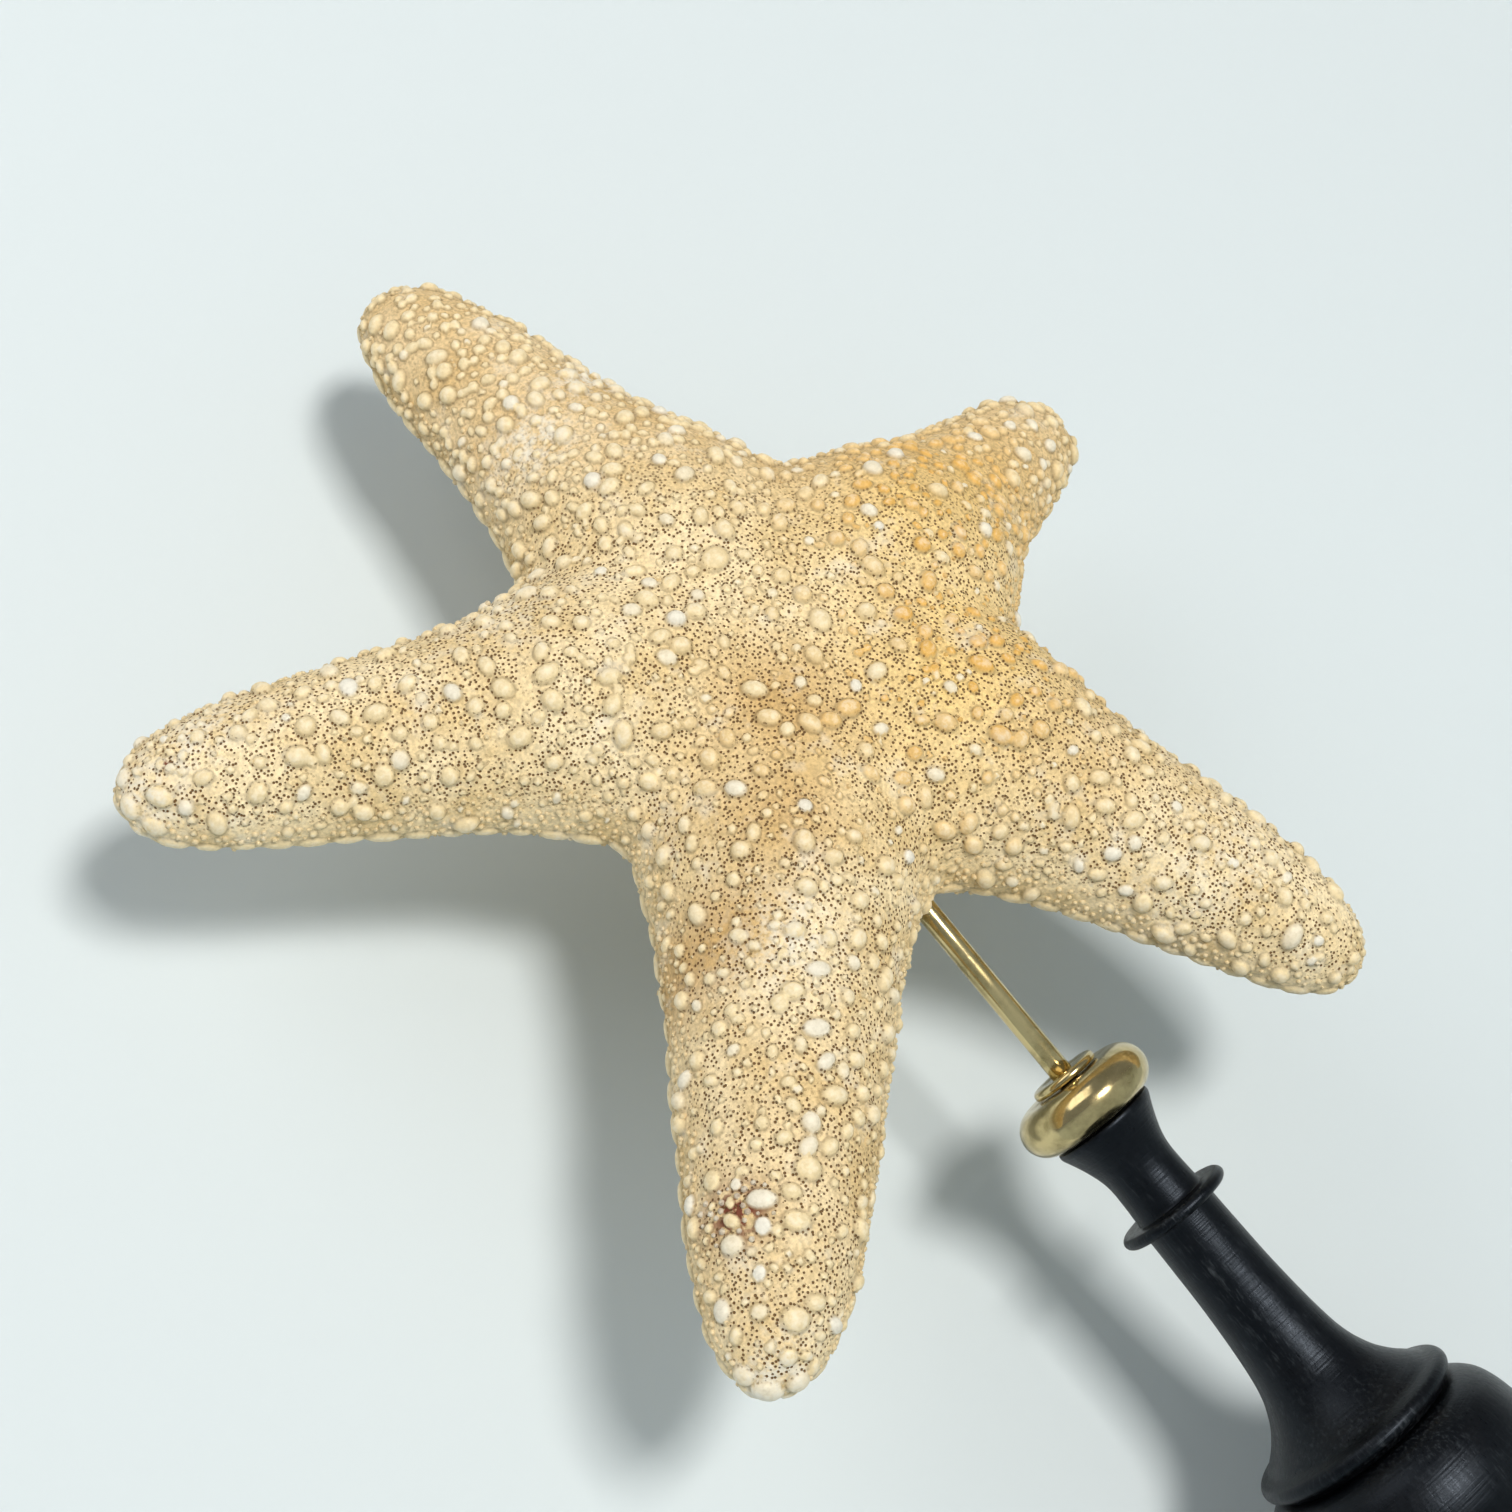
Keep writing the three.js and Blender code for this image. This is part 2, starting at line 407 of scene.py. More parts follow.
def star_body(sizes):
    """The star without its knobs: one smooth closed body of fine, even faces."""
    mesh = merged_copy("starfish")
    shape = bmesh.new()
    shape.from_mesh(mesh)
    plug_hole(shape)
    shape.to_mesh(mesh)
    shape.free()
    body = new_object("star_body", mesh)
    coarse = body.modifiers.new("Join", "REMESH")
    coarse.mode = "VOXEL"
    coarse.voxel_size = sizes.soften
    melt = body.modifiers.new("Melt", "SMOOTH")
    melt.factor = 0.5
    melt.iterations = 12
    fine = body.modifiers.new("Fine", "REMESH")
    fine.mode = "VOXEL"
    fine.voxel_size = sizes.cell
    even = body.modifiers.new("Even", "SMOOTH")
    even.factor = 0.5
    even.iterations = 8
    body = baked(body, "star_body")

    # The underside is plainer, so it carries fewer and larger faces.
    mesh = body.data
    facing = np.empty(len(mesh.vertices) * 3, np.float32)
    mesh.vertices.foreach_get("normal", facing)
    upward = np.array(star_matrix(sizes).to_3x3())[:, 2]
    plain = facing.reshape(-1, 3) @ upward < PLAIN_FACING
    group = body.vertex_groups.new(name="plain")
    group.add(np.flatnonzero(plain).tolist(), 1.0, "REPLACE")
    thin = body.modifiers.new("Thin", "DECIMATE")
    thin.vertex_group = "plain"
    thin.ratio = sizes.kept
    body = baked(body, "star_body")
    body.vertex_groups.clear()
    return body


def patched(flat, patches):
    """How strongly each point lies in a set of soft patches, from 0 to 1."""
    most = np.zeros(len(flat))
    for right, top, wide, deep, strength in patches:
        patch = np.exp(-((flat[:, 0] - right) / wide) ** 2 - ((flat[:, 1] - top) / deep) ** 2)
        most = np.maximum(most, strength * patch)
    return most


def mark_body(body, sizes):
    """Stores where each vertex lies on the animal, presses in the grooves and makes the body uneven."""
    mesh = body.data
    count = len(mesh.vertices)
    place = np.empty(count * 3, np.float32)
    mesh.vertices.foreach_get("co", place)
    normal = np.empty(count * 3, np.float32)
    mesh.vertices.foreach_get("normal", normal)
    place = place.reshape(-1, 3)
    normal = normal.reshape(-1, 3)
    turn = np.array(star_matrix(sizes).to_3x3())
    own = (place - np.array(sizes.centre)) @ turn / MM
    facing = (normal @ turn)[:, 2]
    share, across = arm_coordinates(own[:, :2])
    upper = smoothstep(-0.05, 0.4, facing)
    under = smoothstep(0.45, 0.85, -facing)
    distance = np.hypot(own[:, 0], own[:, 1])
    groove = under * (1 - smoothstep(0.9, 0.97, share))
    trough = np.exp(-(across / 1.9) ** 2) * groove
    mouth = np.exp(-(distance / 6.0) ** 2) * under
    sink = sizes.groove_depth * np.maximum(trough, 1.1 * mouth)
    swell = 0.35 * np.sin(own[:, 0] / 9.0 + 1.3) * np.sin(own[:, 1] / 7.5 + 0.4)
    swell += 0.25 * np.sin(own[:, 0] / 4.1 + own[:, 1] / 6.3)
    lift = -(0.85 + 0.5 * swell) * MM - sink
    place += normal * lift[:, None].astype(np.float32)
    mesh.vertices.foreach_set("co", place.ravel())
    mesh.update()
    golden, dull, bleached = (patched(own, patches) for patches in (GOLD, DULL_AND_SHADED, BLEACHED))
    bearing = math.radians(CROWDED_BEARING)
    crowded = smoothstep(
        CROWDED_FROM, CROWDED_FULL, own[:, 0] * math.sin(bearing) + own[:, 1] * math.cos(bearing))
    rust = np.zeros(count)
    for arm, along, aside, radius, strength in RUST:
        middle = np.array(arm_point(arm, along, aside))[:2] / MM
        rust += strength * np.exp(-np.sum((own[:, :2] - middle) ** 2, axis=1) / radius ** 2)
    numbers(mesh, "upper", upper)
    numbers(mesh, "flank", (1 - smoothstep(0.25, 0.6, facing)) * (1 - under))
    numbers(mesh, "under", under)
    numbers(mesh, "groove", np.maximum(trough, mouth))
    numbers(mesh, "golden", golden * (1 - under))
    numbers(mesh, "bleached", bleached * (1 - under))
    numbers(mesh, "crowded", crowded)
    # Browning and painted shade from the patches, and painted shade in the ground between the crowded
    # knobs.
    numbers(mesh, "dull", np.maximum(dull, 0.45 * crowded))
    numbers(mesh, "rust", rust * upper)


def margin_route(body, sizes, level):
    """A closed curve round the edge of the star, at a level in mm from its plane."""
    tree = BVHTree.FromObject(body, bpy.context.evaluated_depsgraph_get())
    matrix = star_matrix(sizes)
    turn = matrix.to_3x3()
    points = []

    def outward(start, direction):
        hit = tree.ray_cast(matrix @ start, (turn @ direction).normalized())[0]
        if hit is not None:
            points.append(hit)

    for arm, (angle, length, _, _) in enumerate(ARMS):
        forward, sideways = (Vector((*axis, 0)) for axis in arm_axes(angle))
        shoulder = length - MARGIN_SHOULDER
        stations = np.linspace(MARGIN_ROOT, shoulder, 14)
        for along in stations:
            outward(arm_point(arm, along, 0, level), -sideways)
        for turned in np.linspace(-75, 75, 11):
            swing = math.radians(turned)
            direction = forward * math.cos(swing) + sideways * math.sin(swing)
            outward(arm_point(arm, shoulder, 0, level), direction)
        for along in stations[::-1]:
            outward(arm_point(arm, along, 0, level), sideways)
        following = ARMS[(arm + 1) % len(ARMS)][0]
        halfway = angle + ((following - angle) % 360) / 2
        outward(Vector((0, 0, level * MM)), Vector((*arm_axes(halfway)[0], 0)))
    curve = bpy.data.curves.new("margin", "CURVE")
    curve.dimensions = "3D"
    spline = curve.splines.new("POLY")
    spline.points.add(len(points) - 1)
    spline.points.foreach_set("co", np.array([(*p, 1) for p in points], np.float32).ravel())
    spline.use_cyclic_u = True
    return new_object("margin", curve)


def plate_points(body, sizes):
    """The centres of the marked plates, as a mesh of loose points with their size and whiteness."""
    tree = BVHTree.FromObject(body, bpy.context.evaluated_depsgraph_get())
    matrix = star_matrix(sizes)
    down = matrix.to_3x3() @ Vector((0, 0, -1))
    centres, radii, stretches, axes, tones = [], [], [], [], []
    for arm, along, across, radius, stretch, turn, white in PLATES:
        hit = tree.ray_cast(matrix @ arm_point(arm, along, across, 40), down)[0]
        if hit is None:
            hit = tree.find_nearest(matrix @ arm_point(arm, along, across, 4))[0]
        centres.append(hit)
        radii.append(radius * MM)
        stretches.append(stretch)
        tones.append(white)
        forward, sideways = (Vector((*axis, 0)) for axis in arm_axes(ARMS[arm][0]))
        swing = math.radians(turn)
        axes.append(matrix.to_3x3() @ (forward * math.cos(swing) + sideways * math.sin(swing)))
    mesh = bpy.data.meshes.new("plates")
    mesh.from_pydata(centres, [], [])
    numbers(mesh, "size", radii)
    numbers(mesh, "stretch", stretches)
    numbers(mesh, "white", tones)
    mesh.attributes.new("axis", "FLOAT_VECTOR", "POINT").data.foreach_set("vector", np.array(axes).ravel())
    return new_object("plates", mesh)


# ---- Knobs, by Geometry Nodes -------------------------------------------


def new_tree(name, lengths, seeded=False):
    """A modifier tree that takes a mesh, some named lengths and perhaps a seed, and its input node."""
    tree = bpy.data.node_groups.new(name, "GeometryNodeTree")
    tree.is_modifier = True
    tree.interface.new_socket("Geometry", in_out="INPUT", socket_type="NodeSocketGeometry")
    for title in lengths:
        tree.interface.new_socket(title, in_out="INPUT", socket_type="NodeSocketFloat")
    if seeded:
        tree.interface.new_socket("Seed", in_out="INPUT", socket_type="NodeSocketInt")
    tree.interface.new_socket("Geometry", in_out="OUTPUT", socket_type="NodeSocketGeometry")
    return tree, add(tree, "NodeGroupInput")


def end_tree(tree, shape, material):
    """Ends a tree: instances made real, shaded smooth and given their material."""
    real = add(tree, "GeometryNodeRealizeInstances", {"Geometry": shape})
    smooth = add(tree, "GeometryNodeSetShadeSmooth", {"Geometry": real, "Shade Smooth": True})
    done = add(tree, "GeometryNodeSetMaterial", {"Geometry": smooth, "Material": material})
    add(tree, "NodeGroupOutput", {"Geometry": done})
    return tree


def knob_field(tree, cloud, radius, tone, axis, stretch, height):
    """Nodes that find a cloud's nearest knob, and give the dome over it, its tone and how near it is."""
    here = add(tree, "GeometryNodeInputPosition")
    nearest = add(tree, "GeometryNodeSampleNearest", {"Geometry": cloud}, domain="POINT")
    kinds = ("FLOAT_VECTOR", "FLOAT", "FLOAT_VECTOR", "FLOAT", "FLOAT")
    wanted = (add(tree, "GeometryNodeInputPosition"), radius, axis, tone, stretch)
    centre, size, direction, colour, long = (
        add(tree, "GeometryNodeSampleIndex", {"Geometry": cloud, "Value": value, "Index": nearest},
            data_type=kind, domain="POINT")
        for kind, value in zip(kinds, wanted))
    away = add(tree, "ShaderNodeVectorMath", (here, centre), operation="SUBTRACT")
    length = add(tree, "ShaderNodeVectorMath", (away, away), operation="DOT_PRODUCT").outputs["Value"]
    along = add(tree, "ShaderNodeVectorMath", (away, direction), operation="DOT_PRODUCT").outputs["Value"]
    along_squared = add(tree, "ShaderNodeMath", (along, along), operation="MULTIPLY")
    shortening = add(tree, "ShaderNodeMath", (1.0, long), operation="DIVIDE")
    kept = add(tree, "ShaderNodeMath", (shortening, 2.0), operation="POWER")
    saved = add(tree, "ShaderNodeMath", (1.0, kept), operation="SUBTRACT")
    taken = add(tree, "ShaderNodeMath", (along_squared, saved), operation="MULTIPLY")
    squared = add(tree, "ShaderNodeMath", (length, taken), operation="SUBTRACT")
    floored = add(tree, "ShaderNodeMath", (squared, 0.0), operation="MAXIMUM")
    distance = add(tree, "ShaderNodeMath", (floored,), operation="SQRT")
    ratio = add(tree, "ShaderNodeMath", (distance, size), operation="DIVIDE")
    edge = add(tree, "ShaderNodeMapRange",
               {"Value": ratio, "From Min": 1.25, "From Max": 0.55},
               interpolation_type="SMOOTHSTEP")
    ratio_squared = add(tree, "ShaderNodeMath", (ratio, ratio), operation="MULTIPLY")
    crown = add(tree, "ShaderNodeMath", (ratio_squared, -0.5, 1.0), operation="MULTIPLY_ADD")
    dome = add(tree, "ShaderNodeMath", (edge, crown), operation="MULTIPLY")
    tall = add(tree, "ShaderNodeMath", (size, height), operation="MULTIPLY")
    raised = add(tree, "ShaderNodeMath", (dome, tall), operation="MULTIPLY")
    return {"raise": raised, "mask": edge, "tone": colour, "ratio": ratio}


def clear_of(tree, points, field, reach):
    """Drops the points that stand on or against a knob already placed."""
    close = add(tree, "ShaderNodeMath", (field["ratio"], reach), operation="LESS_THAN")
    return add(tree, "GeometryNodeDeleteGeometry", {"Geometry": points, "Selection": close}, domain="POINT")


def lying_axis(tree, normal, seed):
    """A random direction for each point that lies in the surface."""
    spin = add(tree, "FunctionNodeRandomValue",
               {"Min": (-1, -1, -1), "Max": (1, 1, 1), "Seed": seed}, data_type="FLOAT_VECTOR")
    cross = add(tree, "ShaderNodeVectorMath", (spin, normal), operation="CROSS_PRODUCT")
    return add(tree, "ShaderNodeVectorMath", (cross,), operation="NORMALIZE")


def stronger(tree, first, second):
    """Of two knob fields, the one that rises higher at each point."""
    wins = add(tree, "ShaderNodeMath", (first["raise"], second["raise"]), operation="GREATER_THAN")
    tone = add(
        tree, "ShaderNodeMix", {"Factor": wins, "A": second["tone"], "B": first["tone"]}, data_type="FLOAT")
    raised = add(tree, "ShaderNodeMath", (first["raise"], second["raise"], 0.0003),
                 operation="SMOOTH_MAX")
    mask = add(tree, "ShaderNodeMath", (first["mask"], second["mask"]), operation="MAXIMUM")
    return {"raise": raised, "mask": mask, "tone": tone}


def knob_tree(material, margins, plates):
    """The tree that sets knobs and edge plates over the skin and lifts the skin over each of them."""
    tree, given = new_tree("Sea star knobs", (
        "Large spacing", "Large radius", "Small spacing", "Small radius", "Margin pitch"), seeded=True)
    skin = given.outputs["Geometry"]
    upper, under, groove, crowded, size, white, long = (
        add(tree, "GeometryNodeInputNamedAttribute", {"Name": name}, data_type="FLOAT")
        for name in ("upper", "under", "groove", "crowded", "size", "white", "stretch"))

    # The plates that mark this animal.
    marked = add(tree, "GeometryNodeObjectInfo", {"Object": plates}).outputs["Geometry"]
    axis = add(tree, "GeometryNodeInputNamedAttribute", {"Name": "axis"}, data_type="FLOAT_VECTOR")
    plate = knob_field(tree, marked, size, white, axis, long, PLATE_RISE)

    # Two rows of oval plates round the edge of every arm.
    rows = []
    for number, margin in enumerate(margins):
        route = add(tree, "GeometryNodeObjectInfo", {"Object": margin}).outputs["Geometry"]
        points = add(tree, "GeometryNodeCurveToPoints",
                     {"Curve": route, "Length": given.outputs["Margin pitch"]}, mode="LENGTH")
        width = add(tree, "FunctionNodeRandomValue", {"Min": 0.0015, "Max": 0.0021, "Seed": 20 + number})
        tone = add(tree, "FunctionNodeRandomValue", {"Min": 0.0, "Max": 0.55, "Seed": 30 + number})
        length = add(tree, "FunctionNodeRandomValue", {"Min": 1.55, "Max": 1.85, "Seed": 35 + number})
        rows.append(knob_field(tree, points.outputs["Points"], width, tone, points.outputs["Tangent"],
                               length, ROW_RISE))
    edge = stronger(tree, *rows)
    fixed = stronger(tree, plate, edge)
    in_rows = add(tree, "ShaderNodeMath", (rows[0]["ratio"], rows[1]["ratio"]), operation="MINIMUM")
    in_fixed = {"ratio": add(tree, "ShaderNodeMath", (in_rows, plate["ratio"]), operation="MINIMUM")}

    # Large knobs stand apart all over the upper side.
    often = add(tree, "ShaderNodeMath", (upper, 0.05), operation="SUBTRACT")
    large_points = add(tree, "GeometryNodeDistributePointsOnFaces",
                       {"Mesh": skin, "Distance Min": given.outputs["Large spacing"],
                        "Density Max": 60000.0, "Density Factor": often, "Seed": given.outputs["Seed"]},
                       distribute_method="POISSON")
    sparse = clear_of(tree, large_points.outputs["Points"], in_fixed, 1.45)
    chance = add(tree, "FunctionNodeRandomValue", {"Min": 0.65, "Max": 1.35, "Seed": 41})
    large_size = add(tree, "ShaderNodeMath", (chance, given.outputs["Large radius"]), operation="MULTIPLY")
    large_tone = add(tree, "FunctionNodeRandomValue", {"Min": 0.0, "Max": 1.0, "Seed": 42})
    large_long = add(tree, "FunctionNodeRandomValue", {"Min": 1.0, "Max": 1.5, "Seed": 44})
    large = knob_field(tree, sparse.outputs["Geometry"], large_size, large_tone,
                       lying_axis(tree, large_points.outputs["Normal"], 43), large_long, LARGE_RISE)

    # Small knobs fill the room between them, and crowd the flanks and the underside.
    fullness = add(tree, "ShaderNodeMath", (crowded, 0.45, 0.55), operation="MULTIPLY_ADD")
    small_points = add(tree, "GeometryNodeDistributePointsOnFaces",
                       {"Mesh": skin, "Distance Min": given.outputs["Small spacing"],
                        "Density Max": 420000.0, "Density Factor": fullness, "Seed": 12},
                       distribute_method="POISSON")
    in_large = add(tree, "ShaderNodeMath", (in_fixed["ratio"], large["ratio"]), operation="MINIMUM")
    free = clear_of(tree, small_points.outputs["Points"], {"ratio": in_large}, 1.4)
    chance = add(tree, "FunctionNodeRandomValue", {"Min": 0.6, "Max": 1.3, "Seed": 51})
    fuller = add(tree, "ShaderNodeMath", (crowded, 0.3, 1.0), operation="MULTIPLY_ADD")
    usual_size = add(tree, "ShaderNodeMath", (chance, given.outputs["Small radius"]), operation="MULTIPLY")
    small_size = add(tree, "ShaderNodeMath", (usual_size, fuller), operation="MULTIPLY")
    small_tone = add(tree, "FunctionNodeRandomValue", {"Min": 0.0, "Max": 0.92, "Seed": 52})
    small_long = add(tree, "FunctionNodeRandomValue", {"Min": 1.0, "Max": 1.5, "Seed": 54})
    small = knob_field(tree, free.outputs["Geometry"], small_size, small_tone,
                       lying_axis(tree, small_points.outputs["Normal"], 53), small_long, SMALL_RISE)

    every = stronger(tree, stronger(tree, large, small), fixed)
    open_skin = add(tree, "ShaderNodeMath", (1.0, groove), operation="SUBTRACT")
    damped = add(tree, "ShaderNodeMath", (under, -1.0, 1.0), operation="MULTIPLY_ADD")
    share = add(tree, "ShaderNodeMath", (open_skin, damped), operation="MULTIPLY")
    lifted = add(tree, "ShaderNodeMath", (every["raise"], share), operation="MULTIPLY")
    offset = add(tree, "ShaderNodeVectorMath",
                 {0: add(tree, "GeometryNodeInputNormal"), "Scale": lifted}, operation="SCALE")
    shown = add(tree, "ShaderNodeMath", (every["mask"], share), operation="MULTIPLY")
    for name, value in (("knob", shown), ("tone", every["tone"])):
        skin = add(
            tree, "GeometryNodeStoreNamedAttribute", {"Geometry": skin, "Name": name, "Value": value},
            data_type="FLOAT", domain="POINT")
    domed = add(tree, "GeometryNodeSetPosition", {"Geometry": skin, "Offset": offset})
    return end_tree(tree, domed, material)


def granule_tree(material, star):
    """The tree that sets tiny beads on the skin: along the flanks and in the white patch on one arm."""
    tree, given = new_tree("Sea star granules", ("Granule spacing", "Granule radius"))
    skin = add(tree, "GeometryNodeObjectInfo", {"Object": star}).outputs["Geometry"]
    flank, knob, rust = (
        add(tree, "GeometryNodeInputNamedAttribute", {"Name": name}, data_type="FLOAT")
        for name in ("flank", "knob", "rust"))
    # Densest on the flanks, sparse on top, and packed in the patch.
    flank_only = add(tree, "ShaderNodeMapRange", {"Value": flank, "To Min": 0.04, "To Max": 1.0})
    patch = add(tree, "ShaderNodeMapRange", {"Value": rust, "From Min": 0.12, "From Max": 0.35})
    share = add(tree, "ShaderNodeMath", (flank_only, patch), operation="MAXIMUM")
    bare = add(tree, "ShaderNodeMapRange", {"Value": knob, "From Min": 0.35, "From Max": 0.15})
    density = add(tree, "ShaderNodeMath", (share, bare), operation="MULTIPLY")
    points = add(tree, "GeometryNodeDistributePointsOnFaces",
                 {"Mesh": skin, "Distance Min": given.outputs["Granule spacing"], "Density Max": 1500000.0,
                  "Density Factor": density, "Seed": 3}, distribute_method="POISSON")
    bead = add(tree, "GeometryNodeMeshIcoSphere", {"Radius": 1.0, "Subdivisions": 1})
    chance = add(tree, "FunctionNodeRandomValue", {"Min": 0.65, "Max": 1.4, "Seed": 61})
    width = add(tree, "ShaderNodeMath", (chance, given.outputs["Granule radius"]), operation="MULTIPLY")
    spin = add(tree, "FunctionNodeRandomValue", {"Min": (0, 0, 0), "Max": (6.28, 6.28, 6.28), "Seed": 62},
               data_type="FLOAT_VECTOR")
    beads = add(tree, "GeometryNodeInstanceOnPoints",
                {"Points": points.outputs["Points"], "Instance": bead, "Rotation": spin, "Scale": width})
    white = add(tree, "FunctionNodeRandomValue", {"Min": 0.0, "Max": 0.8, "Seed": 63})
    whiter = add(tree, "ShaderNodeMath", (white, patch), operation="ADD")
    for name, value in (("tone", whiter), ("knob", 0.65)):
        beads = add(
            tree, "GeometryNodeStoreNamedAttribute", {"Geometry": beads, "Name": name, "Value": value},
            data_type="FLOAT", domain="INSTANCE")
    return end_tree(tree, beads, material)


def spine_points(star, sizes):
    """Where the little spines stand along both banks of each groove, and which way they point."""
    tree = BVHTree.FromObject(star, bpy.context.evaluated_depsgraph_get())
    matrix = star_matrix(sizes)
    turn = matrix.to_3x3()
    upward = turn @ Vector((0, 0, 1))
    feet, aims, shares = [], [], []
    for arm, (angle, length, _, _) in enumerate(ARMS):
        sideways = Vector((*arm_axes(angle)[1], 0))
        for bank in (-1, 1):
            for row, (offset, tilt, relative) in enumerate(SPINE_ROWS):
                for along in np.arange(7.5 + 0.8 * row, 0.93 * length, SPINE_PITCH):
                    narrow = 1 - 0.35 * along / length
                    start = matrix @ arm_point(arm, along, bank * offset * narrow, -60)
                    hit, normal, _, _ = tree.ray_cast(start, upward)
                    if hit is None:
                        continue
                    feet.append(hit - normal * 0.3 * MM)
                    aims.append((normal - turn @ sideways * bank * tilt).normalized())
                    shares.append((1.0 - 0.45 * along / length) * relative)
    mesh = bpy.data.meshes.new("spine_feet")
    mesh.from_pydata(feet, [], [])
    numbers(mesh, "size", shares)
    mesh.attributes.new("aim", "FLOAT_VECTOR", "POINT").data.foreach_set("vector", np.array(aims).ravel())
    return new_object("spine_feet", mesh)


def spine_tree(material):
    """The tree that stands a blunt little spine on each point."""
    tree, given = new_tree("Sea star spines", ("Spine length", "Spine radius"))
    aim = add(tree, "GeometryNodeInputNamedAttribute", {"Name": "aim"}, data_type="FLOAT_VECTOR")
    size = add(tree, "GeometryNodeInputNamedAttribute", {"Name": "size"}, data_type="FLOAT")
    top = add(tree, "ShaderNodeMath", (given.outputs["Spine radius"], 0.5), operation="MULTIPLY")
    spine = add(tree, "GeometryNodeMeshCone",
                {"Vertices": 7, "Side Segments": 2, "Radius Top": top,
                 "Radius Bottom": given.outputs["Spine radius"], "Depth": given.outputs["Spine length"]},
                fill_type="TRIANGLE_FAN")
    facing = add(tree, "FunctionNodeAlignRotationToVector", {"Vector": aim}, axis="Z")
    chance = add(tree, "FunctionNodeRandomValue", {"Min": 0.8, "Max": 1.15, "Seed": 71})
    scale = add(tree, "ShaderNodeMath", (chance, size), operation="MULTIPLY")
    spines = add(tree, "GeometryNodeInstanceOnPoints",
                 {"Points": given.outputs["Geometry"], "Instance": spine.outputs["Mesh"],
                  "Rotation": facing, "Scale": scale})
    tone = add(tree, "FunctionNodeRandomValue", {"Min": 0.0, "Max": 0.85, "Seed": 72})
    for name, value in (("tone", tone), ("knob", 0.7)):
        spines = add(
            tree, "GeometryNodeStoreNamedAttribute", {"Geometry": spines, "Name": name, "Value": value},
            data_type="FLOAT", domain="INSTANCE")
    return end_tree(tree, spines, material)


def grown(thing, name, tree, values):
    """Runs a tree on an object, with its inputs given by name, and makes the result a plain mesh."""
    modifier = thing.modifiers.new("Grow", "NODES")
    modifier.node_group = tree
    for item in tree.interface.items_tree:
        if item.in_out == "INPUT" and item.name in values:
            modifier[item.identifier] = values[item.name]
    piece = baked(thing, name)
    if len(piece.data.polygons) < FEWEST_FACES:
        raise RuntimeError(name + " came out empty")
    return piece


def handed_over(piece, node):
    """Hides the node that a finished piece stands for, and hangs the piece on the body that it rides on."""
    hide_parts(node)
    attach(piece, "root")


# ---- Materials ----------------------------------------------------------


